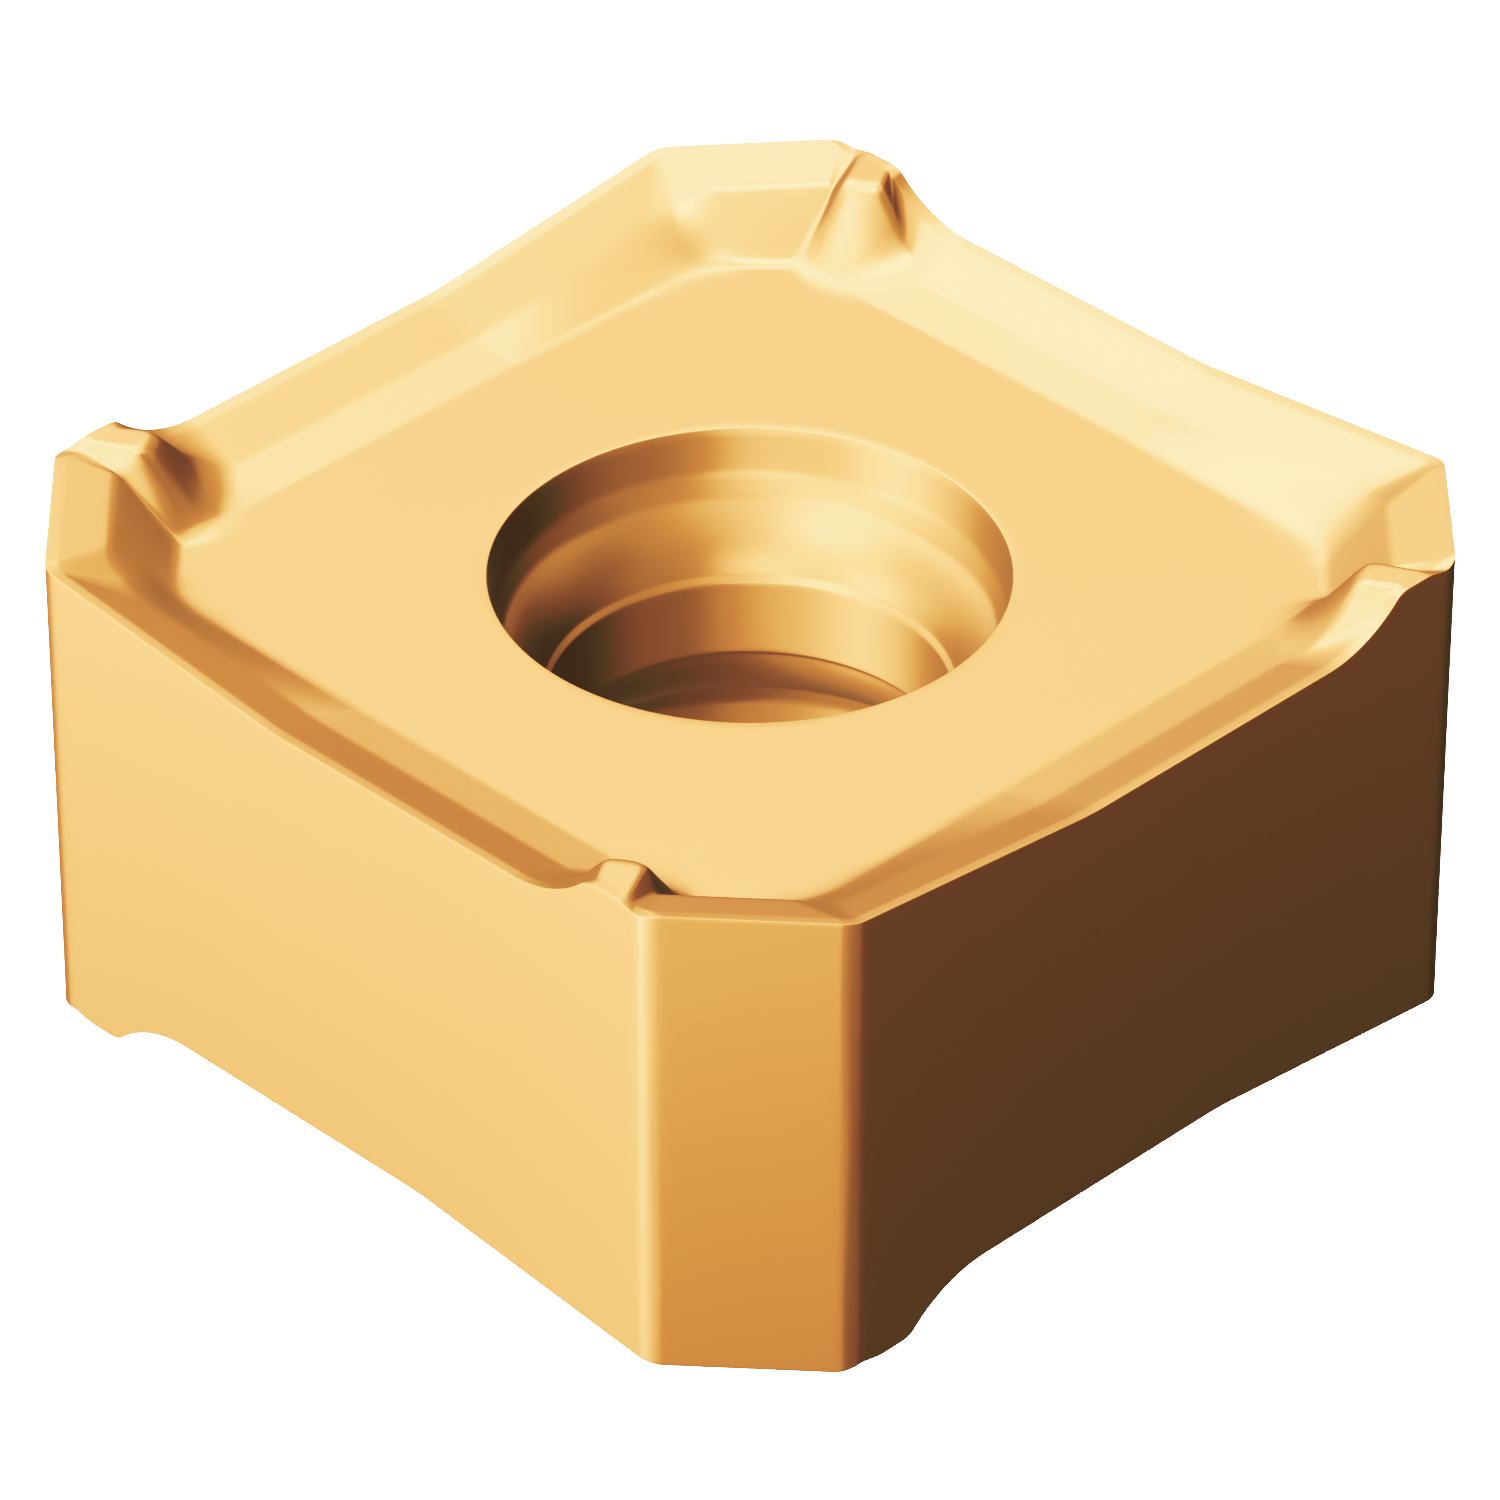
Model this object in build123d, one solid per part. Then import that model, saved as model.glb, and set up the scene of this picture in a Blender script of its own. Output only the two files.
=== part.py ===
from build123d import *
from math import cos, pi, radians, sin, sqrt, tan
import os

os.makedirs("parts", exist_ok=True)

# Plan: a square with cut corners, its eight vertical edges rounded
inscribed_circle = 13.0
corner_facet_width = 2.28
vertex_radius = 0.40

# Heights above the middle plane
half_thickness = 3.16
seat_height = 2.232
edge_height = 2.639
edge_start_height = 3.013
facet_start_height = 3.153
facet_edge_fall = 0.103
vertex_notch_depth = 0.062

# Cutting edge along one side, measured from the middle of the side
knee_place = -1.14
rise_place = 2.75
rise_radius = 1.65
rise_angle = 45.0
nub_width = 0.42
nub_shoulder = 0.27

# Land and the two rake faces
land_width = 0.15
land_drop = 0.03
crease_inset = 0.80
crease_drop = 0.285
crease_start_drop = 0.336
facet_crease_inset = 0.70
facet_crease_drop = 0.195
facet_crease_turn = 0.50
floor_inset = 1.40
facet_floor_inset = 1.44
floor_corner_radius = 0.90
foot_radius = 0.15

# Top of the corner nub: how far its inner end reaches in and leans back
nub_reach = 0.525
nub_lean = 0.295
nub_skew = 0.21
nub_wall_set_back = 0.085
nub_wall_drop = 0.095
groove_reach = 0.61
groove_lean = 0.30
groove_drop = 0.27
groove_start_lean = 0.13
ridge_start_lean = 0.12
nub_foot_spread = 0.28
nub_foot_set_back = 0.25
valley_foot_length = 0.13

# Screw hole, alike from both sides
rim_radius = 3.034
shoulder_radius = 2.99
shoulder_height = 1.62
seat_cone_radius = 2.88
seat_cone_height = 1.36
throat_radius = 2.43
throat_height = 0.57
throat_chamfer = 0.07
seat_curve_radius = 1.33

half = inscribed_circle / 2
facet_reach = half * sqrt(2) - corner_facet_width / 2
side_end = facet_reach * sqrt(2) - half
tangent_length = vertex_radius * tan(pi / 8)
side_tangent = side_end - tangent_length
facet_tangent = corner_facet_width / 2 - tangent_length


def on_side(t, s, z):
    """Point t along the front side, s in from its flank."""
    return Vector(t, s - half, z)


def on_next_side(t, s, z):
    """The same on the side that follows the corner facet."""
    return Vector(half - s, t, z)


def on_facet(w, s, z):
    """Point w along the corner facet, s in from its flank."""
    reach = facet_reach - s
    return Vector((reach + w) / sqrt(2), (w - reach) / sqrt(2), z)


def arc_between(start, end, centre):
    """Arc about a plan centre whose height runs evenly from start to end."""
    radius = (Vector(start.X, start.Y) - Vector(centre.X, centre.Y)).length
    middle = (start + end) / 2
    out = Vector(middle.X - centre.X, middle.Y - centre.Y).normalized() * radius
    return Edge.make_three_point_arc(start, Vector(centre.X + out.X, centre.Y + out.Y, middle.Z), end)


def lines(points):
    return [Edge.make_line(a, b) for a, b in zip(points, points[1:])]


def closed_rail(quarter):
    """Turn one quarter of a rail about the axis to close it."""
    edges = []
    for k in range(4):
        edges += [edge.rotate(Axis.Z, 90 * k) for edge in quarter]
    return Wire(edges)


rise_run = rise_radius * sin(radians(rise_angle))
rise_gain = rise_radius * (1 - cos(radians(rise_angle)))
nub_end = side_tangent - nub_shoulder
nub_start = nub_end - nub_width
facet_end_height = facet_start_height - facet_edge_fall
notch_height = half_thickness - vertex_notch_depth


def edge_rail(inset, drop, nub_drop, groove_shift, ridge_shift):
    """Rail that follows the cutting edge at an even distance from the flanks."""
    low = edge_height - drop
    start = on_side(-side_tangent, inset, edge_start_height - drop)
    knee = on_side(knee_place, inset, low)
    rise = on_side(rise_place, inset, low)
    middle_angle = radians(rise_angle) / 2
    rise_middle = on_side(
        rise_place + rise_radius * sin(middle_angle), inset, low + rise_radius * (1 - cos(middle_angle))
    )
    wall = on_side(rise_place + rise_run, inset, low + rise_gain)
    crown = on_side(nub_start, inset, half_thickness - nub_drop)
    brow = on_side(nub_end, inset, half_thickness - nub_drop)
    notch = on_side(side_tangent - groove_shift, inset, notch_height - drop)
    facet_start = on_facet(-facet_tangent - ridge_shift, inset, facet_start_height - drop)
    facet_end = on_facet(facet_tangent, inset, facet_end_height - drop)
    next_start = on_next_side(-side_tangent, inset, edge_start_height - drop)
    centre_p = on_side(side_tangent, vertex_radius, 0)
    centre_q = on_next_side(-side_tangent, vertex_radius, 0)
    if groove_shift > 0:
        vertex = Edge.make_line(notch, facet_start)
    else:
        vertex = arc_between(notch, facet_start, centre_p)
    return [
        Edge.make_line(start, knee),
        Edge.make_line(knee, rise),
        Edge.make_three_point_arc(rise, rise_middle, wall),
        Edge.make_line(wall, crown),
        Edge.make_line(crown, brow),
        Edge.make_line(brow, notch),
        vertex,
        Edge.make_line(facet_start, facet_end),
        arc_between(facet_end, next_start, centre_q),
    ]


def level_rail(z):
    """Outline in the middle plane, split like the cutting edge above it."""
    places = [-side_tangent, knee_place, rise_place, rise_place + rise_run, nub_start, nub_end, side_tangent]
    flank = lines([on_side(t, 0, z) for t in places])
    facet = Edge.make_line(on_facet(-facet_tangent, 0, z), on_facet(facet_tangent, 0, z))
    notch = arc_between(flank[-1] @ 1, facet @ 0, on_side(side_tangent, vertex_radius, z))
    last = arc_between(facet @ 1, on_next_side(-side_tangent, 0, z), on_next_side(-side_tangent, vertex_radius, z))
    return flank + [notch, facet, last]


def side_place(s, facet_s):
    """Place along a side where a line s in from it meets a line in from the facet."""
    return (facet_reach - facet_s) * sqrt(2) - (half - s)


# Heights and slopes beside the start corner fix where the two creases meet
facet_crease_end_height = facet_end_height - facet_crease_drop
facet_rake_slope = (facet_crease_end_height - seat_height) / (facet_floor_inset - facet_crease_inset)
crease_start_height = edge_start_height - crease_start_drop
valley_facet_inset = facet_crease_inset + (facet_crease_end_height - crease_start_height) / facet_rake_slope
facet_fall_rate = facet_edge_fall / (2 * facet_tangent)
turn_height = facet_start_height - facet_crease_drop - facet_fall_rate * (facet_tangent + facet_crease_turn)


def crease_rail():
    """Crease between the rake faces, carried over the nub and along the valley."""
    valley_place = side_place(crease_inset, valley_facet_inset)
    start = on_side(-valley_place, crease_inset, crease_start_height)
    knee = on_side(knee_place, crease_inset, edge_height - crease_drop)
    rise = on_side(rise_place, crease_inset, edge_height - crease_drop)
    crown = on_side(nub_start - nub_lean, nub_reach, half_thickness)
    wall = on_side(crown.X - nub_wall_set_back, nub_reach, half_thickness - nub_wall_drop)
    brow = on_side(nub_end - nub_lean - nub_wall_set_back, nub_reach + nub_skew, half_thickness)
    groove = on_side(side_tangent - groove_lean, groove_reach, half_thickness - groove_drop)
    facet_start = on_facet(-facet_tangent, facet_crease_inset, facet_start_height - facet_crease_drop)
    facet_turn = on_facet(facet_crease_turn, facet_crease_inset, turn_height)
    next_start = on_next_side(-valley_place, crease_inset, crease_start_height)
    return [
        Edge.make_line(start, knee),
        Edge.make_line(knee, rise),
        Edge.make_tangent_arc(rise, Vector(1, 0, 0), wall),
        Edge.make_line(wall, crown),
        Edge.make_line(crown, brow),
        Edge.make_line(brow, groove),
        Edge.make_line(groove, facet_start),
        Edge.make_line(facet_start, facet_turn),
        Edge.make_tangent_arc(facet_turn, facet_turn - facet_start, next_start),
    ]


def floor_rail():
    """Edge of the flat seat, square with cut corners and one end of each cut rounded."""
    corner = side_place(floor_inset, facet_floor_inset)
    facet_half = (half - floor_inset) * sqrt(2) - (facet_reach - facet_floor_inset)
    wide = floor_corner_radius * tan(pi / 8)
    small = foot_radius * tan(pi / 8)
    brow_place = nub_start - nub_foot_set_back
    places = [
        wide - corner,
        knee_place,
        brow_place - nub_foot_spread - valley_foot_length,
        brow_place - nub_foot_spread - valley_foot_length / 2,
        brow_place - nub_foot_spread,
        brow_place,
        corner - small,
    ]
    side = lines([on_side(t, floor_inset, seat_height) for t in places])
    facet = Edge.make_line(
        on_facet(small - facet_half, facet_floor_inset, seat_height),
        on_facet(facet_half - wide, facet_floor_inset, seat_height),
    )
    foot = arc_between(side[-1] @ 1, facet @ 0, on_side(corner - small, floor_inset + foot_radius, seat_height))
    next_start = on_next_side(wide - corner, floor_inset, seat_height)
    turn = arc_between(facet @ 1, next_start, on_next_side(wide - corner, floor_inset + floor_corner_radius, 0))
    return side + [foot, facet, turn]


def upper_half():
    rails = [
        level_rail(0),
        edge_rail(0, 0, 0, 0, 0),
        edge_rail(land_width, land_drop, 0.005, groove_start_lean, ridge_start_lean),
        crease_rail(),
        floor_rail(),
    ]
    return Solid.make_loft([closed_rail(rail) for rail in rails], ruled=True)


def screw_hole():
    """Straight mouth, curved seat for the screw head and narrow throat, mirrored below."""
    with BuildPart() as hole:
        with BuildSketch(Plane.XZ):
            with BuildLine():
                upper = Polyline(
                    (0, half_thickness),
                    (rim_radius, half_thickness),
                    (rim_radius, seat_height),
                    (shoulder_radius, shoulder_height),
                    (seat_cone_radius, seat_cone_height),
                )
                curve = RadiusArc(upper @ 1, (throat_radius, throat_height), -seat_curve_radius)
                throat = Polyline(
                    curve @ 1, (throat_radius - throat_chamfer, throat_height - throat_chamfer),
                    (throat_radius - throat_chamfer, 0), (0, 0)
                )
                Line(throat @ 1, upper @ 0)
            make_face()
        revolve(axis=Axis.Z)
    return hole.part + mirror(hole.part, about=Plane.XY)


top = upper_half()
body = top + top.rotate(Axis.X, 180)
insert_body = body - screw_hole()
export_step(insert_body, "parts/insert_body.step")
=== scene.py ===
from math import atan2, cos, degrees, pi, radians, sin, sqrt, tan

import bmesh
import bpy
from bpy.props import FloatProperty, FloatVectorProperty, PointerProperty
from mathutils import Matrix, Vector
from mathutils.bvhtree import BVHTree


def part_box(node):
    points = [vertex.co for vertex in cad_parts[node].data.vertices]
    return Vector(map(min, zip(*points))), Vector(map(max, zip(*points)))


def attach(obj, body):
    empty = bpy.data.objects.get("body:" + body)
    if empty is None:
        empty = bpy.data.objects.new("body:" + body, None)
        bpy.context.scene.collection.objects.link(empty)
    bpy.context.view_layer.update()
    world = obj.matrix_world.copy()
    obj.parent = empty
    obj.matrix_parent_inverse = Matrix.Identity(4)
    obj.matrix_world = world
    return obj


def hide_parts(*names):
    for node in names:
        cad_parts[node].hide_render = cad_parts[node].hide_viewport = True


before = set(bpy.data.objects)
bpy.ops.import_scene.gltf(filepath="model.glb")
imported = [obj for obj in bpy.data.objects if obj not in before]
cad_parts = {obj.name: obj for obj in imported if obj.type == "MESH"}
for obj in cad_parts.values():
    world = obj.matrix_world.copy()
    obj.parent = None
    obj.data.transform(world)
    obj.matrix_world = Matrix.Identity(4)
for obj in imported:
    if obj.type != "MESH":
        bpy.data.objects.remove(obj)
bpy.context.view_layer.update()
BODY_LOW, BODY_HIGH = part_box("insert_body")

bl_info = {
    "name": "Square milling insert",
    "version": (1, 0, 0),
    "blender": (4, 5, 0),
    "location": "View3D > Sidebar > Insert",
    "description": "Builds a coated square milling insert, its studio and its camera",
    "category": "Object",
}

MM = 0.001


class InsertSizes(bpy.types.PropertyGroup):
    """Sizes of the insert's outline, cutting edge and faces."""

    half_width: FloatProperty(
        name="Half width", description="From the screw hole's axis to a long flank",
        default=BODY_HIGH.x, unit="LENGTH")
    half_thickness: FloatProperty(
        name="Half thickness", description="From the middle plane to the top of a corner nub",
        default=BODY_HIGH.z, unit="LENGTH")
    facet_width: FloatProperty(
        name="Corner facet width", description="Width of the flat that cuts each corner",
        default=2.28 * MM, unit="LENGTH")
    vertex_radius: FloatProperty(
        name="Vertical edge radius", description="Rounding of the eight vertical edges",
        default=0.40 * MM, unit="LENGTH")
    seat_height: FloatProperty(
        name="Seat height", description="Flat seat face above the middle plane",
        default=2.232 * MM, unit="LENGTH")
    edge_height: FloatProperty(
        name="Edge height", description="Flat stretch of the cutting edge above the middle plane",
        default=2.639 * MM, unit="LENGTH")
    edge_start_height: FloatProperty(
        name="Edge start height", description="Cutting edge where a side starts",
        default=3.013 * MM, unit="LENGTH")
    facet_start_height: FloatProperty(
        name="Facet start height", description="Cutting edge at the nub's end of the corner facet",
        default=3.153 * MM, unit="LENGTH")
    facet_end_height: FloatProperty(
        name="Facet end height", description="Cutting edge at the far end of the corner facet",
        default=3.050 * MM, unit="LENGTH")
    notch_height: FloatProperty(
        name="Notch height", description="Cutting edge between the nub and the corner facet",
        default=3.098 * MM, unit="LENGTH")
    land_width: FloatProperty(
        name="Land width", description="Narrow land behind the cutting edge",
        default=0.15 * MM, unit="LENGTH")
    land_drop: FloatProperty(
        name="Land drop", description="Fall of the land from the cutting edge",
        default=0.03 * MM, unit="LENGTH")
    crease_inset: FloatProperty(
        name="Crease inset", description="From a flank to the crease between the rake faces",
        default=0.80 * MM, unit="LENGTH")
    facet_crease_inset: FloatProperty(
        name="Facet crease inset", description="From a corner facet to its crease",
        default=0.70 * MM, unit="LENGTH")
    seat_inset: FloatProperty(
        name="Seat inset", description="From a flank to the edge of the flat seat",
        default=1.40 * MM, unit="LENGTH")
    facet_seat_inset: FloatProperty(
        name="Facet seat inset", description="From a corner facet to the edge of the flat seat",
        default=1.44 * MM, unit="LENGTH")
    hone: FloatProperty(
        name="Hone", description="Rounding of the cutting edge",
        default=0.008 * MM, unit="LENGTH")
    rim_radius: FloatProperty(
        name="Hole rim radius", description="Radius of the screw hole at the seat face",
        default=3.034 * MM, unit="LENGTH")
    throat_radius: FloatProperty(
        name="Throat radius", description="Radius at the lower end of the screw head's seat",
        default=2.43 * MM, unit="LENGTH")
    bore_radius: FloatProperty(
        name="Bore radius", description="Radius of the narrow bore",
        default=2.36 * MM, unit="LENGTH")


class CoatingLook(bpy.types.PropertyGroup):
    """Colours and sheen of the hard coating."""

    gold: FloatVectorProperty(
        name="Gold", description="Main colour of the coating",
        default=(0.96, 0.587, 0.34), subtype="COLOR", min=0.0, max=1.0)
    warm_gold: FloatVectorProperty(
        name="Warm gold", description="Colour where the coating grew slightly thicker",
        default=(0.94, 0.571, 0.328), subtype="COLOR", min=0.0, max=1.0)
    roughness: FloatProperty(
        name="Roughness", description="Sheen of the coating",
        default=0.36, min=0.0, max=1.0, subtype="FACTOR")
    grain: FloatProperty(
        name="Grain size", description="Size of the sintered grain under the coating",
        default=0.035 * MM, unit="LENGTH")


class StudioSetup(bpy.types.PropertyGroup):
    """Camera and floor of the studio."""

    azimuth: FloatProperty(
        name="Azimuth", description="Camera's bearing round the insert",
        default=radians(45.0), subtype="ANGLE")
    elevation: FloatProperty(
        name="Elevation", description="Camera's height above the middle plane",
        default=radians(34.979), subtype="ANGLE")
    distance: FloatProperty(
        name="Distance", description="From the camera to the insert's centre",
        default=117.74 * MM, unit="LENGTH")
    focal_length: FloatProperty(
        name="Focal length", description="Lens in millimetres on a 36 mm sensor",
        default=242.2)
    drop: FloatProperty(
        name="Drop", description="How far below the insert's centre the camera looks",
        default=0.225 * MM, unit="LENGTH")
    floor_radius: FloatProperty(
        name="Floor radius", description="Radius of the pale floor",
        default=400 * MM, unit="LENGTH")
    shade_radius: FloatProperty(
        name="Contact shade radius",
        description="How far the soft shade round the insert's foot reaches",
        default=26.0 * MM, unit="LENGTH")
    shade_depth: FloatProperty(
        name="Contact shade depth",
        description="Share of light that the shade takes at the insert's foot",
        default=0.35, min=0.0, max=1.0, subtype="FACTOR")


QUARTERS = 4

# A quarter of each rail runs through nine stations: start, knee, rise, wall, crown, brow, notch,
# ridge and facet end. Columns inside the stretch after each station, and across a station
SIDE_COLUMNS = (12, 8, 12, 6, 6, 5, 7, 9, 7)
CORNER_COLUMNS = 6
NOTCH, RIDGE, FACET_END = 6, 7, 8

# A softened corner takes at most this share of the stretch on either side
SOFT_LIMIT = 0.45

# Places along a side, from its middle, and the arc that climbs to the nub
KNEE = -1.14 * MM
RISE = 2.75 * MM
RISE_RADIUS = 1.65 * MM
RISE_ANGLE = radians(45)
NUB_START = 4.03 * MM
NUB_END = 4.45 * MM

# How far the nub, the groove and the ridge move between the cutting edge and the land, inside
NUB_DROP = 0.005 * MM
GROOVE_SHIFT = 0.13 * MM
RIDGE_SHIFT = 0.12 * MM

# Rounding of each rail's corners at the nine stations, in millimetres
EDGE_SOFTNESS = (0.05, 0.22, 0.02, 0.05, 0.06, 0.08, 0.06, 0.05, 0.02)
LAND_SOFTNESS = (0.05, 0.22, 0.02, 0.05, 0.06, 0.06, 0.06, 0.05, 0.02)
RAKE_SOFTNESS = (0.25, 0.22, 0.02, 0.04, 0.07, 0.08, 0.08, 0.08, 0.02)
SEAT_SOFTNESS = (0.02,) * 9

# Rounding across the crease, and how far the seat's fillet reaches up the rake and out over the
# seat, at the nine stations, in millimetres
CREASE_SOFTNESS = (0.10, 0.06, 0.06, 0.10, 0.12, 0.12, 0.08, 0.08, 0.08)
FILLET_UP = (0.12, 0.06, 0.06, 0.06, 0.07, 0.10, 0.14, 0.14, 0.13)
FILLET_OUT = (0.16, 0.06, 0.06, 0.06, 0.07, 0.10, 0.12, 0.08, 0.12)

# Where the pressed form runs soft: place along the side, inset, reach and rounding in millimetres
SOFT_SPOTS = {
    "nub foot": (3.70, 1.14, 0.85, 0.28),
    "edge start": (-3.95, 1.35, 0.95, 0.22),
}
INSET_SHARE = 0.36
LEAST_ROUNDING = 0.01 * MM
DISC_RINGS = (0.0, 0.4, 0.7, 1.0)
DISC_STEPS = 12


def turn(point, quarters):
    """The point turned about the hole's axis by quarter turns."""
    return Matrix.Rotation(quarters * pi / 2, 3, "Z") @ point


class Plan:
    """Turns places along a side or a corner facet into points."""

    def __init__(self, sizes):
        self.half = sizes.half_width
        self.reach = self.half * sqrt(2) - sizes.facet_width / 2
        self.tangent = sizes.vertex_radius * tan(pi / 8)
        self.side_end = self.reach * sqrt(2) - self.half - self.tangent
        self.facet_end = sizes.facet_width / 2 - self.tangent

    def side(self, t, inset, z):
        """Point t along the front side."""
        return Vector((t, inset - self.half, z))

    def next_side(self, t, inset, z):
        """Point t along the side that follows the corner facet."""
        return Vector((self.half - inset, t, z))

    def facet(self, w, inset, z):
        """Point w along the corner facet between them."""
        out = self.reach - inset
        return Vector(((out + w) / sqrt(2), (w - out) / sqrt(2), z))

    def meeting(self, inset, facet_inset):
        """Place along a side where a line set in from it meets one set in from the facet."""
        return (self.reach - facet_inset) * sqrt(2) - (self.half - inset)


def straight(start, end):
    """Straight line; as in each curve here, f runs from 0 at its start to 1 at its end."""
    return lambda f: start.lerp(end, f)


def plan_arc(start, end, centre):
    """Arc about a plan centre, its height running evenly."""
    first = (start - centre).xy
    angle = first.angle_signed((end - centre).xy)

    def at(f):
        turned = Matrix.Rotation(-angle * f, 2) @ first
        return Vector((centre.x + turned.x, centre.y + turned.y, start.z + (end.z - start.z) * f))

    return at


def tangent_arc(start, direction, end):
    """Arc that leaves start along a direction and reaches end."""
    along = direction.normalized()
    chord = end - start
    aside = chord - chord.dot(along) * along
    side = aside.normalized()
    radius = chord.length_squared / (2 * chord.dot(side))
    angle = 2 * atan2(chord.dot(side), chord.dot(along))
    return lambda f: start + radius * (along * sin(angle * f) + side * (1 - cos(angle * f)))


def parabola(before, corner, after):
    """Curve that takes a corner off."""
    return lambda f: before * (1 - f) ** 2 + corner * 2 * f * (1 - f) + after * f ** 2


def cubic(start, leave, arrive, end):
    """Curve that leaves its start towards one point and reaches its end from another."""
    def at(f):
        g = 1 - f
        return start * g ** 3 + leave * 3 * g * g * f + arrive * 3 * g * f * f + end * f ** 3

    return at


def soften(before, corner, after, count):
    """Points along the parabola that takes a corner off."""
    curve = parabola(before, corner, after)
    return [curve(i / count) for i in range(count + 1)]


def columns_of(segments, softness):
    """Points of a quarter of a rail, from the middle of its first corner to the next quarter's."""
    half = CORNER_COLUMNS // 2
    every = [
        lambda f: turn(segments[-1](f), -1),
        *segments,
        lambda f: turn(segments[0](f), 1),
    ]
    lengths = [(curve(1.0) - curve(0.0)).length for curve in every]
    corners = []
    for k, soft in enumerate([*softness, softness[0]]):
        before, after = every[k], every[k + 1]
        before_share = min(SOFT_LIMIT, soft / lengths[k])
        after_share = min(SOFT_LIMIT, soft / lengths[k + 1])
        bend = soften(before(1 - before_share), after(0.0), after(after_share), CORNER_COLUMNS)
        corners.append((bend, before_share, after_share))
    points = []
    for k, inner in enumerate(SIDE_COLUMNS):
        points += corners[k][0][half:]
        first, last = corners[k][2], 1 - corners[k + 1][1]
        for i in range(1, inner + 1):
            share = (1 - cos(pi * i / (inner + 1))) / 2
            points.append(segments[k](first + (last - first) * share))
        points += corners[k + 1][0][:half]
    points.append(corners[-1][0][half])
    return points


def column_starts():
    """Column number at the middle of each softened corner."""
    starts = [0]
    for inner in SIDE_COLUMNS:
        starts.append(starts[-1] + CORNER_COLUMNS + inner + 1)
    return starts


def edge_rail(sizes, plan, inset, drop, nub_drop, groove_shift, ridge_shift):
    """Rail that follows the cutting edge at an even distance from the flanks."""
    low = sizes.edge_height - drop
    top = sizes.half_thickness - nub_drop
    end = plan.side_end
    start = plan.side(-end, inset, sizes.edge_start_height - drop)
    knee = plan.side(KNEE, inset, low)
    rise = plan.side(RISE, inset, low)
    wall = plan.side(
        RISE + RISE_RADIUS * sin(RISE_ANGLE), inset, low + RISE_RADIUS * (1 - cos(RISE_ANGLE)))
    crown = plan.side(NUB_START, inset, top)
    brow = plan.side(NUB_END, inset, top)
    notch = plan.side(end - groove_shift, inset, sizes.notch_height - drop)
    ridge = plan.facet(-plan.facet_end - ridge_shift, inset, sizes.facet_start_height - drop)
    facet_end = plan.facet(plan.facet_end, inset, sizes.facet_end_height - drop)
    next_start = plan.next_side(-end, inset, sizes.edge_start_height - drop)
    notch_centre = plan.side(end, sizes.vertex_radius, 0)
    start_centre = plan.next_side(-end, sizes.vertex_radius, 0)
    vertex = straight(notch, ridge) if groove_shift else plan_arc(notch, ridge, notch_centre)
    return [
        straight(start, knee),
        straight(knee, rise),
        tangent_arc(rise, Vector((1, 0, 0)), wall),
        straight(wall, crown),
        straight(crown, brow),
        straight(brow, notch),
        vertex,
        straight(ridge, facet_end),
        plan_arc(facet_end, next_start, start_centre),
    ]


def crease_rail(sizes, plan):
    """Crease between the rake faces, carried over the nub and along the valley."""
    inset, facet_inset = sizes.crease_inset, sizes.facet_crease_inset
    top = sizes.half_thickness
    low = 2.354 * MM
    valley = plan.side(-4.10 * MM, inset, 2.647 * MM)
    knee = plan.side(KNEE, inset, low)
    rise = plan.side(RISE, inset, low)
    scoop = plan.side(3.22 * MM, 0.60 * MM, 2.40 * MM)
    wall = plan.side(3.50 * MM, 0.53 * MM, 2.86 * MM)
    crown = plan.side(3.77 * MM, 0.52 * MM, top)
    brow = plan.side(4.13 * MM, 0.80 * MM, top)
    groove = plan.side(4.45 * MM, 0.62 * MM, 2.91 * MM)
    ridge = plan.facet(-plan.facet_end, facet_inset, 2.958 * MM)
    bend = plan.facet(0.38 * MM, facet_inset, 2.887 * MM)
    next_valley, next_knee = turn(valley, 1), turn(knee, 1)
    leave = bend + (bend - ridge).normalized() * 0.22 * MM
    arrive = next_valley + (next_valley - next_knee).normalized() * 0.40 * MM
    return [
        straight(valley, knee),
        straight(knee, rise),
        parabola(rise, scoop, wall),
        straight(wall, crown),
        straight(crown, brow),
        straight(brow, groove),
        straight(groove, ridge),
        straight(ridge, bend),
        cubic(bend, leave, arrive, next_valley),
    ]


def seat_rail(sizes, plan):
    """Edge of the flat seat."""
    inset, facet_inset, z = sizes.seat_inset, sizes.facet_seat_inset, sizes.seat_height
    corner = plan.meeting(inset, facet_inset)
    facet_half = (sizes.half_width - inset) * sqrt(2) - (plan.reach - facet_inset)
    wide = 0.90 * MM
    small = 0.15 * MM
    wide_run = wide * tan(pi / 8)
    small_run = small * tan(pi / 8)
    nub_foot = [3.42 * MM, 3.68 * MM, 3.86 * MM, 4.05 * MM]
    places = [wide_run - corner, KNEE, *nub_foot, corner - small_run]
    side = [plan.side(t, inset, z) for t in places]
    facet_start = plan.facet(small_run - facet_half, facet_inset, z)
    facet_end = plan.facet(facet_half - wide_run, facet_inset, z)
    next_start = plan.next_side(wide_run - corner, inset, z)
    return [straight(a, b) for a, b in zip(side, side[1:])] + [
        plan_arc(side[-1], facet_start, plan.side(corner - small_run, inset + small, z)),
        straight(facet_start, facet_end),
        plan_arc(facet_end, next_start, plan.next_side(wide_run - corner, inset + wide, z)),
    ]


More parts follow.
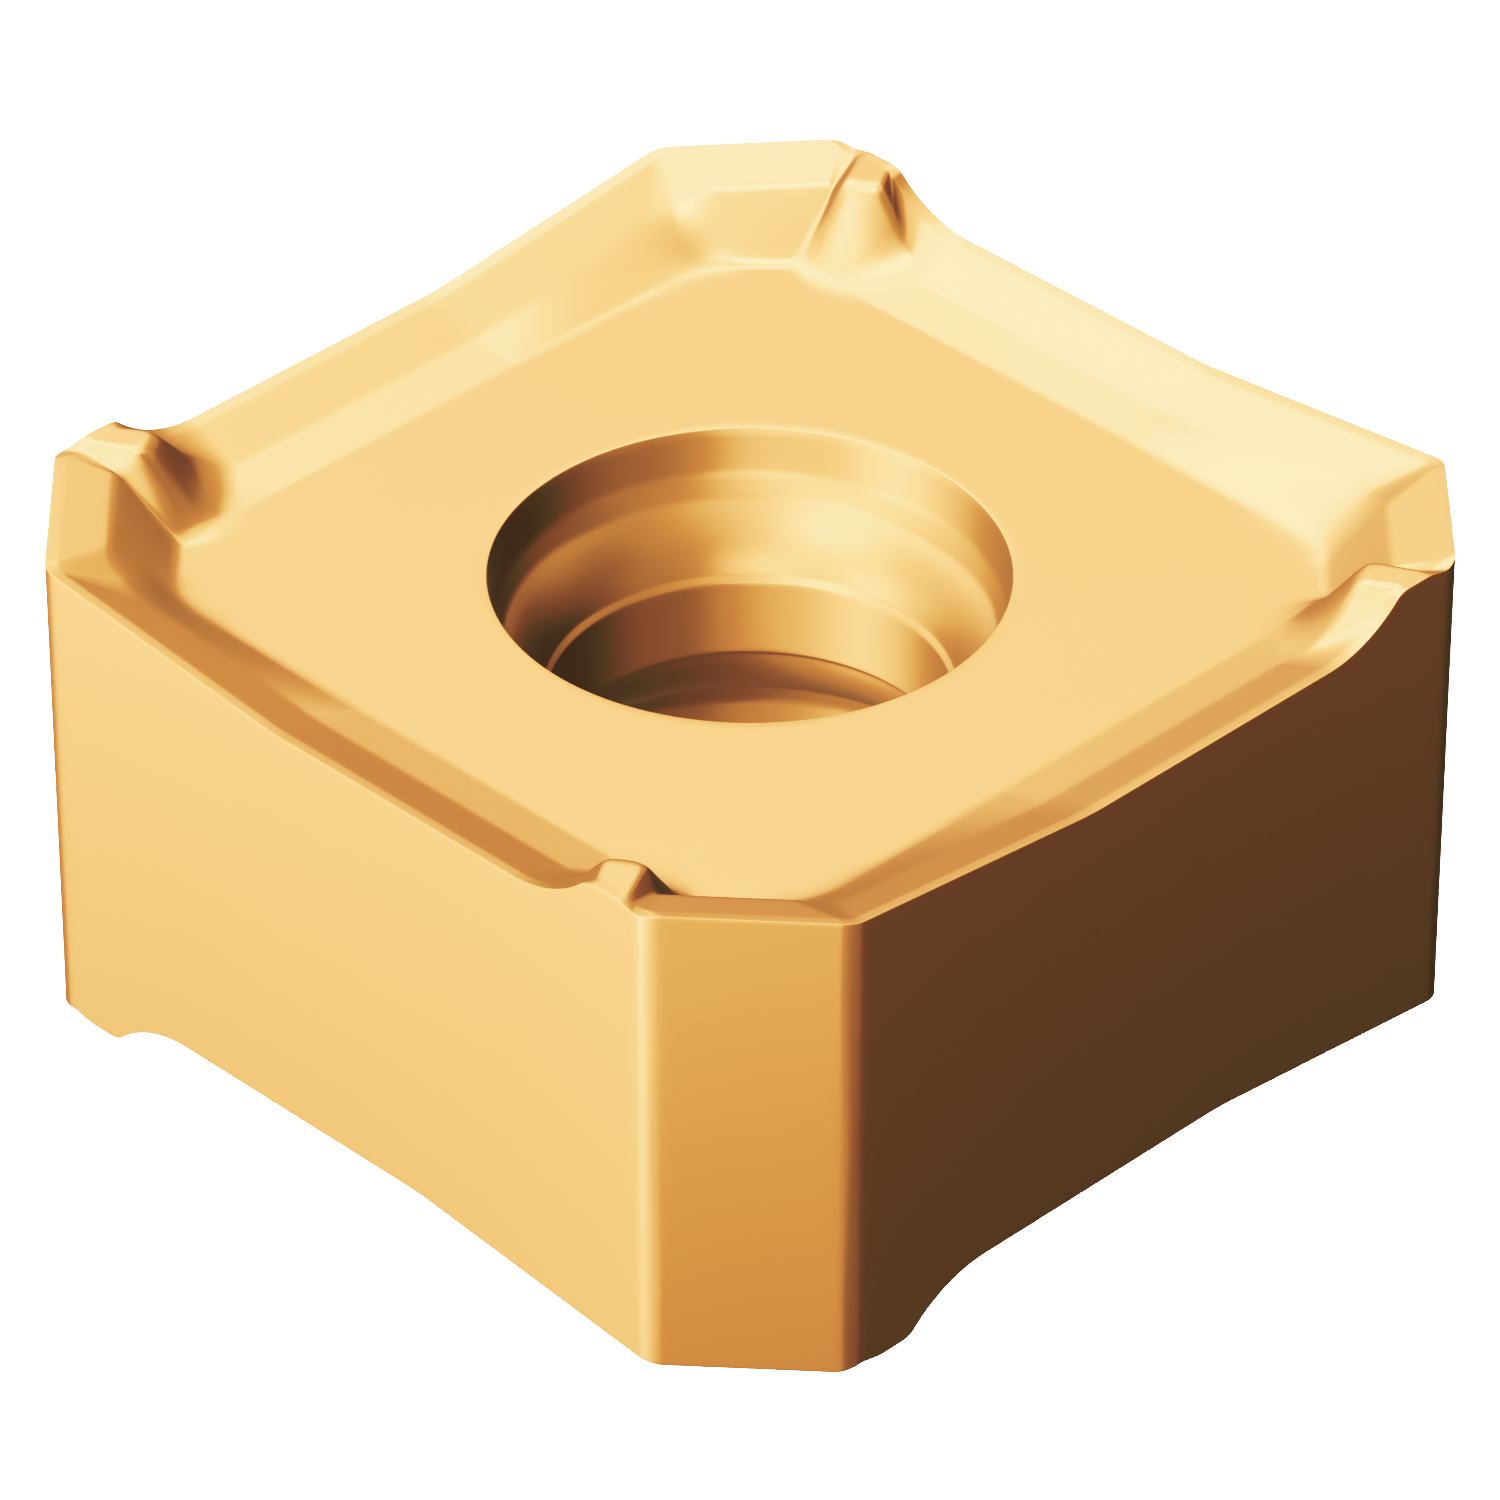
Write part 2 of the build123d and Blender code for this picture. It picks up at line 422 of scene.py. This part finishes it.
def middle_columns(sizes, plan):
    """Outline in the middle plane, spaced alike from both ends so that the halves meet."""
    end, radius = plan.side_end, sizes.vertex_radius
    start = plan.side(-end, 0, 0)
    notch = plan.side(end, 0, 0)
    ridge = plan.facet(-plan.facet_end, 0, 0)
    facet_end = plan.facet(plan.facet_end, 0, 0)
    next_start = plan.next_side(-end, 0, 0)
    stretches = [
        (0, NOTCH, straight(start, notch)),
        (NOTCH, RIDGE, plan_arc(notch, ridge, plan.side(end, radius, 0))),
        (RIDGE, FACET_END, straight(ridge, facet_end)),
        (FACET_END, -1, plan_arc(facet_end, next_start, plan.next_side(-end, radius, 0))),
    ]
    starts = column_starts()
    points = []
    for first, last, curve in stretches:
        count = starts[last] - starts[first]
        points += [curve(i / count) for i in range(count)]
    points.append(curve(1.0))
    return points


def soften_between(before, corner, after, back, forth, count):
    """A softened corner between two neighbours, never past the middle of either stretch."""
    towards, away = before - corner, after - corner
    back = min(back, SOFT_LIMIT * towards.length)
    forth = min(forth, SOFT_LIMIT * away.length)
    first = corner + towards.normalized() * back
    last = corner + away.normalized() * forth
    return soften(first, corner, last, count)


def points_between(start, end, count):
    """Evenly spaced points between the ends of two softened corners."""
    return [start.lerp(end, (i + 1) / (count + 1)) for i in range(count)]


def hole_profile(sizes):
    """Radius and height down the screw hole, from the seat face to the middle plane."""
    shoulder = Vector((2.99 * MM, 1.62 * MM))
    cone_foot = Vector((2.88 * MM, 1.36 * MM))
    throat = Vector((sizes.throat_radius, 0.57 * MM))
    lip = Vector((sizes.bore_radius, 0.50 * MM))
    rim = Vector((sizes.rim_radius, sizes.seat_height))
    outside = Vector((sizes.rim_radius + 0.3 * MM, sizes.seat_height))
    sharp, shoulder_softness, cone_softness = 0.02 * MM, 0.08 * MM, 0.05 * MM
    seat_curve_radius = 1.33 * MM
    arc_steps = 12
    chord = throat - cone_foot
    middle = (throat + cone_foot) / 2
    normal = Vector((-chord.y, chord.x)).normalized()
    if normal.x < 0:
        normal = -normal
    centre = middle + normal * sqrt(seat_curve_radius ** 2 - (chord.length / 2) ** 2)
    first, last = cone_foot - centre, throat - centre
    sweep = first.angle_signed(last)
    arc = [
        centre + Matrix.Rotation(-sweep * i / arc_steps, 2) @ first
        for i in range(arc_steps + 1)
    ]
    middle_plane = Vector((lip.x, 0))
    points = soften_between(outside, rim, shoulder, sharp, sharp, 3)
    points += [rim.lerp(shoulder, 0.2), rim.lerp(shoulder, 0.6)]
    points += soften_between(rim, shoulder, cone_foot, shoulder_softness, shoulder_softness, 5)
    points += soften_between(shoulder, cone_foot, arc[2], cone_softness, cone_softness, 5)
    points += arc[2:-1]
    points += soften_between(arc[-2], throat, lip, sharp, sharp, 3)
    points += soften_between(throat, lip, middle_plane, sharp, sharp, 3)
    points += [Vector((lip.x, lip.y * 0.85)), middle_plane]
    return points


def spread(values):
    """A length for every column from millimetres at the stations, running evenly between them."""
    starts = column_starts()
    closed = [*values, values[0]]
    result = []
    for k in range(len(values)):
        count = starts[k + 1] - starts[k]
        for i in range(count):
            f = i / count
            result.append((closed[k] * (1 - f) + closed[k + 1] * f) * MM)
    result.append(closed[-1] * MM)
    return result


def in_metres(values):
    """Lengths from millimetres."""
    return [value * MM for value in values]


def soft_spots(plan):
    """Plan centre, reach and rounding of the soft spots of all four quarters."""
    spots = []
    for place, inset, reach, rounding in SOFT_SPOTS.values():
        centre = plan.side(place * MM, inset * MM, 0)
        for quarter in range(QUARTERS):
            spots.append((turn(centre, quarter).xy, reach * MM, rounding * MM))
    return spots


def rounding_at(point, sizes, plan, spots):
    """Rounding at a point: full in the inner half of a soft spot, fading out, none on the land."""
    across, along = abs(point.x), abs(point.y)
    inset = min(plan.half - max(across, along), plan.reach - (across + along) / sqrt(2))
    rounding = 0.0
    for centre, spot_reach, full in spots:
        share = min(1.0, max(0.0, 2 - 2 * (point.xy - centre).length / spot_reach))
        rounding = max(rounding, full * share * share * (3 - 2 * share))
    return min(rounding, INSET_SHARE * (inset - sizes.land_width))


def sculpted_surface(rows, outer, inner):
    """The rows between the land and the seat, of all four quarters, ready for rays."""
    points, faces = [], []
    across = inner - outer
    for quarter in range(QUARTERS):
        for j, column in enumerate(rows):
            for i in range(across):
                a = len(points)
                points.append(turn(column[outer + i], quarter))
                if j < len(rows) - 1 and i < across - 1:
                    faces.append((a, a + across, a + across + 1, a + 1))
    return BVHTree.FromPolygons(points, faces)


def mean_height(surface, point, radius, above):
    """Mean height of the surface over a disc round a point."""
    heights = []
    for ring in DISC_RINGS:
        for step in range(DISC_STEPS):
            angle = 2 * pi * step / DISC_STEPS
            x = point.x + ring * radius * cos(angle)
            y = point.y + ring * radius * sin(angle)
            hit = surface.ray_cast(Vector((x, y, above)), Vector((0, 0, -1)))[0]
            heights.append(hit.z if hit else point.z)
    return sum(heights) / len(heights)


def blend_soft_spots(rows, outer, inner, sizes, plan):
    """Moves each sculpted point in a soft spot to the mean height of the disc round it."""
    surface = sculpted_surface(rows, outer, inner)
    spots = soft_spots(plan)
    above = 2 * sizes.half_thickness
    for column in rows:
        for i in range(outer, inner):
            point = column[i]
            rounding = rounding_at(point, sizes, plan, spots)
            if rounding >= LEAST_ROUNDING:
                height = mean_height(surface, point, rounding, above)
                column[i] = Vector((point.x, point.y, height))


def eighth_rows(sizes):
    """Columns of points, from the middle plane over the edge to the seat and down the hole."""
    plan = Plan(sizes)
    middle = middle_columns(sizes, plan)
    edge = columns_of(edge_rail(sizes, plan, 0, 0, 0, 0, 0), in_metres(EDGE_SOFTNESS))
    land_rail = edge_rail(
        sizes, plan, sizes.land_width, sizes.land_drop, NUB_DROP, GROOVE_SHIFT, RIDGE_SHIFT)
    land = columns_of(land_rail, in_metres(LAND_SOFTNESS))
    crease = columns_of(crease_rail(sizes, plan), in_metres(RAKE_SOFTNESS))
    seat = columns_of(seat_rail(sizes, plan), in_metres(SEAT_SOFTNESS))
    fillet_up, fillet_out = spread(FILLET_UP), spread(FILLET_OUT)
    crease_soft = spread(CREASE_SOFTNESS)
    land_soft = 0.03 * MM
    under_edge = Vector((0, 0, 0.06 * MM))
    flank_share, land_share = 0.66, 0.4
    seat_shares = (0.03, 0.07, 0.12, 0.2, 0.5, 0.96)
    profile = hole_profile(sizes)
    count = len(edge) - 1
    step = pi / 2 / count
    first_angle = round(atan2(-sizes.half_width, -plan.side_end) / step) * step
    rows = []
    for j in range(count + 1):
        angle = first_angle + j * step
        out = Vector((cos(angle), sin(angle)))
        hole = [Vector((p.x * out.x, p.x * out.y, p.y)) for p in profile]
        foot = Vector((edge[j].x, edge[j].y, flank_share * edge[j].z))
        column = [middle[j], foot, edge[j] - under_edge]
        column += soften_between(foot, edge[j], land[j], sizes.hone, sizes.hone, 5)
        column.append(edge[j].lerp(land[j], land_share))
        column += soften_between(edge[j], land[j], crease[j], land_soft, land_soft, 3)
        outer = len(column) - 1
        crease_curve = soften_between(
            land[j], crease[j], seat[j], crease_soft[j], crease_soft[j], 5)
        seat_curve = soften_between(crease[j], seat[j], hole[0], fillet_up[j], fillet_out[j], 8)
        column += points_between(column[-1], crease_curve[0], 6) + crease_curve
        column += points_between(column[-1], seat_curve[0], 5) + seat_curve
        run = hole[0] - column[-1]
        column += [column[-1] + run * share for share in seat_shares]
        inner = len(column)
        column += hole
        rows.append(column)
    blend_soft_spots(rows, outer, inner, sizes, plan)
    return rows


def eighth_mesh(sizes):
    """One quarter of the upper half, an eighth of the insert, as a mesh."""
    rows = eighth_rows(sizes)
    mesh = bpy.data.meshes.new("insert_eighth")
    across = len(rows[0])
    points = [p for column in rows for p in column]
    faces = []
    for j in range(len(rows) - 1):
        for i in range(across - 1):
            a = j * across + i
            faces.append((a, a + across, a + across + 1, a + 1))
    mesh.from_pydata(points, [], faces)
    mesh.update()
    return mesh


def add_input(tree, name, kind, default=None):
    """Named input of a node tree; returns its identifier."""
    socket = tree.interface.new_socket(name=name, in_out="INPUT", socket_type=kind)
    if default is not None:
        socket.default_value = default
    return socket.identifier


def whole_body_tree():
    """Node tree that turns the eighth about the axis, turns the half over and closes the body."""
    tree = bpy.data.node_groups.new("insert_from_eighth", "GeometryNodeTree")
    add_input(tree, "Eighth", "NodeSocketGeometry")
    ids = {
        "quarters": add_input(tree, "Quarters", "NodeSocketInt", QUARTERS),
        "seam": add_input(tree, "Seam distance", "NodeSocketFloat", 0.0005 * MM),
        "coating": add_input(tree, "Coating", "NodeSocketMaterial"),
    }
    tree.interface.new_socket(name="Body", in_out="OUTPUT", socket_type="NodeSocketGeometry")
    nodes, links = tree.nodes, tree.links
    start = nodes.new("NodeGroupInput")
    line = nodes.new("GeometryNodeMeshLine")
    line.mode = "OFFSET"
    line.inputs["Offset"].default_value = (0, 0, 0)
    index = nodes.new("GeometryNodeInputIndex")
    share = nodes.new("ShaderNodeMath")
    share.operation = "DIVIDE"
    angle = nodes.new("ShaderNodeMath")
    angle.operation = "MULTIPLY"
    angle.inputs[1].default_value = 2 * pi
    rotation = nodes.new("ShaderNodeCombineXYZ")
    copies = nodes.new("GeometryNodeInstanceOnPoints")
    half = nodes.new("GeometryNodeRealizeInstances")
    over = nodes.new("GeometryNodeTransform")
    over.inputs["Rotation"].default_value = (pi, 0, 0)
    both = nodes.new("GeometryNodeJoinGeometry")
    merge = nodes.new("GeometryNodeMergeByDistance")
    smooth = nodes.new("GeometryNodeSetShadeSmooth")
    realize = nodes.new("GeometryNodeRealizeInstances")
    coat = nodes.new("GeometryNodeSetMaterial")
    end = nodes.new("NodeGroupOutput")
    links.new(start.outputs["Quarters"], line.inputs["Count"])
    links.new(index.outputs[0], share.inputs[0])
    links.new(start.outputs["Quarters"], share.inputs[1])
    links.new(share.outputs[0], angle.inputs[0])
    links.new(angle.outputs[0], rotation.inputs["Z"])
    links.new(line.outputs["Mesh"], copies.inputs["Points"])
    links.new(start.outputs["Eighth"], copies.inputs["Instance"])
    links.new(rotation.outputs[0], copies.inputs["Rotation"])
    links.new(copies.outputs["Instances"], half.inputs["Geometry"])
    links.new(half.outputs["Geometry"], over.inputs["Geometry"])
    links.new(half.outputs["Geometry"], both.inputs["Geometry"])
    links.new(over.outputs["Geometry"], both.inputs["Geometry"])
    links.new(both.outputs["Geometry"], merge.inputs["Geometry"])
    links.new(start.outputs["Seam distance"], merge.inputs["Distance"])
    links.new(merge.outputs["Geometry"], smooth.inputs["Geometry"])
    links.new(smooth.outputs["Geometry"], realize.inputs["Geometry"])
    links.new(realize.outputs["Geometry"], coat.inputs["Geometry"])
    links.new(start.outputs["Coating"], coat.inputs["Material"])
    links.new(coat.outputs["Geometry"], end.inputs["Body"])
    return tree, ids


# Clouds of slightly thicker coating, and the grain's hold on the sheen and the surface
CLOUD_SIZE = 2.5 * MM
SHEEN_SPREAD = 0.03
GRAIN_STRENGTH = 0.04
GRAIN_DEPTH = 0.004 * MM


def coating_material(look):
    """Satin gold hard coating over sintered carbide."""
    material = bpy.data.materials.new("coated_carbide")
    material.use_nodes = True
    nodes, links = material.node_tree.nodes, material.node_tree.links
    shader = nodes["Principled BSDF"]
    shader.inputs["Metallic"].default_value = 1.0
    place = nodes.new("ShaderNodeTexCoord")
    cloud = nodes.new("ShaderNodeTexNoise")
    cloud.inputs["Scale"].default_value = 1 / CLOUD_SIZE
    cloud.inputs["Detail"].default_value = 3.0
    tone = nodes.new("ShaderNodeMix")
    tone.data_type = "RGBA"
    tone.inputs["A"].default_value = (*look.gold, 1)
    tone.inputs["B"].default_value = (*look.warm_gold, 1)
    grain = nodes.new("ShaderNodeTexNoise")
    grain.inputs["Scale"].default_value = 1 / look.grain
    grain.inputs["Detail"].default_value = 2.0
    sheen = nodes.new("ShaderNodeMapRange")
    sheen.inputs["To Min"].default_value = look.roughness - SHEEN_SPREAD
    sheen.inputs["To Max"].default_value = look.roughness + SHEEN_SPREAD
    bump = nodes.new("ShaderNodeBump")
    bump.inputs["Strength"].default_value = GRAIN_STRENGTH
    bump.inputs["Distance"].default_value = GRAIN_DEPTH
    links.new(place.outputs["Object"], cloud.inputs["Vector"])
    links.new(place.outputs["Object"], grain.inputs["Vector"])
    links.new(cloud.outputs["Fac"], tone.inputs["Factor"])
    links.new(tone.outputs["Result"], shader.inputs["Base Color"])
    links.new(grain.outputs["Fac"], sheen.inputs["Value"])
    links.new(sheen.outputs["Result"], shader.inputs["Roughness"])
    links.new(grain.outputs["Fac"], bump.inputs["Height"])
    links.new(bump.outputs["Normal"], shader.inputs["Normal"])
    return material


class OBJECT_OT_insert_body(bpy.types.Operator):
    """Builds the coated insert body from one eighth"""

    bl_idname = "insert.body"
    bl_label = "Insert body"

    def execute(self, context):
        scene = context.scene
        tree, ids = whole_body_tree()
        source = bpy.data.objects.new("insert_eighth", eighth_mesh(scene.insert_sizes))
        scene.collection.objects.link(source)
        modifier = source.modifiers.new("Whole body", "NODES")
        modifier.node_group = tree
        modifier[ids["coating"]] = coating_material(scene.coating_look)
        depsgraph = context.evaluated_depsgraph_get()
        mesh = bpy.data.meshes.new_from_object(source.evaluated_get(depsgraph), depsgraph=depsgraph)
        source.modifiers.remove(modifier)
        bpy.data.objects.remove(source)
        mesh.name = "insert_coated"
        piece = bpy.data.objects.new("insert_coated", mesh)
        scene.collection.objects.link(piece)
        if not closed(mesh):
            raise RuntimeError("the insert body isn't closed")
        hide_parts("insert_body")
        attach(piece, "root")
        return {"FINISHED"}


def closed(mesh):
    """True if every edge joins two faces and the faces point outwards."""
    shape = bmesh.new()
    shape.from_mesh(mesh)
    good = all(edge.is_manifold for edge in shape.edges) and shape.calc_volume(signed=True) > 0
    shape.free()
    return good


def aim(thing, place, target):
    """Puts a lamp or camera at a place, looking at a target."""
    thing.location = place
    thing.rotation_euler = (target - place).to_track_quat("-Z", "Y").to_euler()


def towards(bearing, height):
    """Unit vector at a bearing round the insert and a height above the floor, in degrees."""
    a, e = radians(bearing), radians(height)
    return Vector((sin(a) * cos(e), -cos(a) * cos(e), sin(e)))


# Soft lights round the insert: bearing and height in degrees, tightness, strength
SOFT_LIGHTS = {
    "high_left": (270, 51, 5.6, 1.98),
    "over_back": (210, 56, 37, 1.5),
    "front_left": (6, 37, 6.5, 1.76),
    "low_left": (341, -25, 8.7, 1.97),
    "low_front": (39, -11, 14, 1.75),
    "top_lamp": (60, 83, 60, 3.6),
    "front_right": (81, 36, 9, 0.42),
    "low_back": (308, -34, 1.7, 0.56),
    "back": (223, 15, 14.5, 0.25),
    "right_fill": (101, -20, 8, 0.37),
    "high_right": (158, 55, 46, 1.67),
    "high_back": (208, 31, 73, 0.6),
    "far_right": (147, 23, 10.6, 0.3),
    "far_back": (189, 18, 66, 0.6),
}
AMBIENT = 0.0034
WARM_WHITE = (1.0, 0.78, 0.62)
PAPER_WHITE = 8.0

# Response of the film: scene light to shown light, up to the scene light that is shown as white
FILM_WHITE = 3.0
FILM_RESPONSE = (
    (0.03, 0.016), (0.06, 0.039), (0.11, 0.067), (0.17, 0.157), (0.25, 0.292), (0.36, 0.51),
    (0.52, 0.667), (0.75, 0.828), (1.1, 0.935), (1.6, 0.963), (2.4, 0.985))
# In the half-dark tones the film takes a little more of the green light and less of the blue
FILM_GREEN = ((0.07, 0.07), (0.115, 0.13), (0.168, 0.19), (0.225, 0.226), (0.3, 0.3))
FILM_BLUE = ((0.03, 0.03), (0.067, 0.057), (0.108, 0.09), (0.145, 0.145), (0.19, 0.19))


class OBJECT_OT_insert_stage(bpy.types.Operator):
    """Sets the pale floor, the soft lights and the camera"""

    bl_idname = "insert.stage"
    bl_label = "Studio"

    def execute(self, context):
        scene = context.scene
        setup = scene.studio_setup
        add_floor(scene, setup)
        add_contact_shade(scene, setup)
        add_soft_lights(scene)
        add_camera(scene, setup)
        set_film(scene)
        light_directly(bpy.data.objects["insert_coated"])
        return {"FINISHED"}


def flat_disc(scene, name, radius, z, material):
    """A flat round sheet at a height, facing up."""
    mesh = bpy.data.meshes.new(name)
    shape = bmesh.new()
    bmesh.ops.create_circle(shape, cap_ends=True, segments=96, radius=radius)
    bmesh.ops.translate(shape, verts=shape.verts, vec=(0, 0, z))
    shape.to_mesh(mesh)
    shape.free()
    mesh.materials.append(material)
    disc = bpy.data.objects.new(name, mesh)
    scene.collection.objects.link(disc)
    return disc


def one_sided(material, shader):
    """The shader seen from above and nothing from below, so that the underside can be looked at."""
    nodes, links = material.node_tree.nodes, material.node_tree.links
    clear = nodes.new("ShaderNodeBsdfTransparent")
    side = nodes.new("ShaderNodeNewGeometry")
    mix = nodes.new("ShaderNodeMixShader")
    links.new(side.outputs["Backfacing"], mix.inputs["Fac"])
    links.new(shader.outputs[0], mix.inputs[1])
    links.new(clear.outputs[0], mix.inputs[2])
    links.new(mix.outputs[0], nodes["Material Output"].inputs["Surface"])


def add_floor(scene, setup):
    """Pale floor, lit as evenly as a light table."""
    material = bpy.data.materials.new("studio_floor")
    material.use_nodes = True
    paper = material.node_tree.nodes["Principled BSDF"]
    paper.inputs["Base Color"].default_value = (0.9, 0.9, 0.9, 1)
    paper.inputs["Roughness"].default_value = 0.9
    paper.inputs["Emission Color"].default_value = (1, 1, 1, 1)
    paper.inputs["Emission Strength"].default_value = PAPER_WHITE
    one_sided(material, paper)
    floor = flat_disc(scene, "studio_floor", setup.floor_radius, BODY_LOW.z, material)
    floor.visible_glossy = False
    floor.visible_shadow = False


def add_contact_shade(scene, setup):
    """Soft shade on the floor close to the insert, which only its flanks reflect."""
    material = bpy.data.materials.new("contact_shade")
    material.use_nodes = True
    nodes, links = material.node_tree.nodes, material.node_tree.links
    nodes.remove(nodes["Principled BSDF"])
    place = nodes.new("ShaderNodeTexCoord")
    distance = nodes.new("ShaderNodeVectorMath")
    distance.operation = "LENGTH"
    fade = nodes.new("ShaderNodeMapRange")
    fade.inputs["From Min"].default_value = BODY_HIGH.x
    fade.inputs["From Max"].default_value = setup.shade_radius
    fade.inputs["To Min"].default_value = setup.shade_depth
    fade.inputs["To Max"].default_value = 0.0
    clear = nodes.new("ShaderNodeBsdfTransparent")
    dark = nodes.new("ShaderNodeBsdfDiffuse")
    dark.inputs["Color"].default_value = (0, 0, 0, 1)
    mix = nodes.new("ShaderNodeMixShader")
    links.new(place.outputs["Object"], distance.inputs[0])
    links.new(distance.outputs["Value"], fade.inputs["Value"])
    links.new(fade.outputs["Result"], mix.inputs["Fac"])
    links.new(clear.outputs[0], mix.inputs[1])
    links.new(dark.outputs[0], mix.inputs[2])
    links.new(mix.outputs[0], nodes["Material Output"].inputs["Surface"])
    shade = flat_disc(scene, "contact_shade", setup.shade_radius, BODY_LOW.z - 0.01 * MM, material)
    shade.visible_camera = False
    shade.visible_diffuse = False


def add_soft_lights(scene):
    """Surround of soft warm-white lights, behind a plain white backdrop."""
    world = bpy.data.worlds.new("studio_surround")
    scene.world = world
    world.use_nodes = True
    nodes, links = world.node_tree.nodes, world.node_tree.links
    view = nodes.new("ShaderNodeTexCoord")
    total = nodes.new("ShaderNodeValue").outputs[0]
    total.default_value = AMBIENT
    for name, (bearing, height, tightness, strength) in SOFT_LIGHTS.items():
        facing = nodes.new("ShaderNodeVectorMath")
        facing.operation = "DOT_PRODUCT"
        facing.name = name
        facing.inputs[1].default_value = towards(bearing, height)
        away = math_node(nodes, links, "SUBTRACT", facing.outputs["Value"], 1.0)
        falling = math_node(nodes, links, "MULTIPLY", away, tightness)
        glow = math_node(nodes, links, "EXPONENT", falling, 0.0)
        light = math_node(nodes, links, "MULTIPLY", glow, strength)
        total = math_node(nodes, links, "ADD", light, total)
        links.new(view.outputs["Generated"], facing.inputs[0])
    surround = nodes["Background"]
    surround.inputs["Color"].default_value = (*WARM_WHITE, 1)
    links.new(total, surround.inputs["Strength"])
    backdrop = nodes.new("ShaderNodeBackground")
    backdrop.inputs["Strength"].default_value = PAPER_WHITE
    ray = nodes.new("ShaderNodeLightPath")
    mix = nodes.new("ShaderNodeMixShader")
    links.new(ray.outputs["Is Camera Ray"], mix.inputs["Fac"])
    links.new(surround.outputs[0], mix.inputs[1])
    links.new(backdrop.outputs[0], mix.inputs[2])
    links.new(mix.outputs[0], nodes["World Output"].inputs["Surface"])


def math_node(nodes, links, operation, source, value):
    """A math node on a socket and a value or a second socket."""
    node = nodes.new("ShaderNodeMath")
    node.operation = operation
    links.new(source, node.inputs[0])
    if isinstance(value, (int, float)):
        node.inputs[1].default_value = value
    else:
        links.new(value, node.inputs[1])
    return node.outputs[0]


def add_camera(scene, setup):
    """Long lens at the photograph's angle."""
    lens = bpy.data.cameras.new("camera")
    lens.sensor_width = 36
    lens.lens = setup.focal_length
    lens.clip_start = 5 * MM
    camera = bpy.data.objects.new("camera", lens)
    scene.collection.objects.link(camera)
    bearing, height = degrees(setup.azimuth), degrees(setup.elevation)
    target = towards(bearing, height + 90) * -setup.drop
    aim(camera, target + towards(bearing, height) * setup.distance, target)
    scene.camera = camera


def set_film(scene):
    """Soft toe and shoulder, so that highlights turn pale as on film."""
    view = scene.view_settings
    view.view_transform = "Standard"
    view.use_curve_mapping = True
    mapping = view.curve_mapping
    mapping.white_level = (FILM_WHITE, FILM_WHITE, FILM_WHITE)
    mapping.extend = "HORIZONTAL"
    for light, shown in FILM_RESPONSE:
        mapping.curves[3].points.new(light / FILM_WHITE, shown)
    for channel, response in ((1, FILM_GREEN), (2, FILM_BLUE)):
        for light, taken in response:
            point = mapping.curves[channel].points.new(light / FILM_WHITE, taken / FILM_WHITE)
            point.handle_type = "VECTOR"
    mapping.update()


def light_directly(piece):
    """The insert reflects the lights and not itself, as in the photograph."""
    piece.visible_glossy = False
    piece.visible_diffuse = False
    piece.visible_shadow = False


class VIEW3D_PT_insert(bpy.types.Panel):
    """Shows the buttons of the building steps and the insert's, coating's and studio's settings"""

    bl_label = "Insert"
    bl_space_type = "VIEW_3D"
    bl_region_type = "UI"
    bl_category = "Insert"

    def draw(self, context):
        for operator in STEPS:
            self.layout.operator(operator.bl_idname)
        scene = context.scene
        for group in (scene.insert_sizes, scene.coating_look, scene.studio_setup):
            box = self.layout.box()
            for name in group.__annotations__:
                box.prop(group, name)


STEPS = (OBJECT_OT_insert_body, OBJECT_OT_insert_stage)
CLASSES = (InsertSizes, CoatingLook, StudioSetup, *STEPS, VIEW3D_PT_insert)


def register():
    for item in CLASSES:
        bpy.utils.register_class(item)
    bpy.types.Scene.insert_sizes = PointerProperty(type=InsertSizes)
    bpy.types.Scene.coating_look = PointerProperty(type=CoatingLook)
    bpy.types.Scene.studio_setup = PointerProperty(type=StudioSetup)


def unregister():
    del bpy.types.Scene.studio_setup
    del bpy.types.Scene.coating_look
    del bpy.types.Scene.insert_sizes
    for item in reversed(CLASSES):
        bpy.utils.unregister_class(item)


def main():
    """Builds the insert and its studio."""
    register()
    bpy.ops.insert.body()
    bpy.ops.insert.stage()


if __name__ == "__main__":
    main()
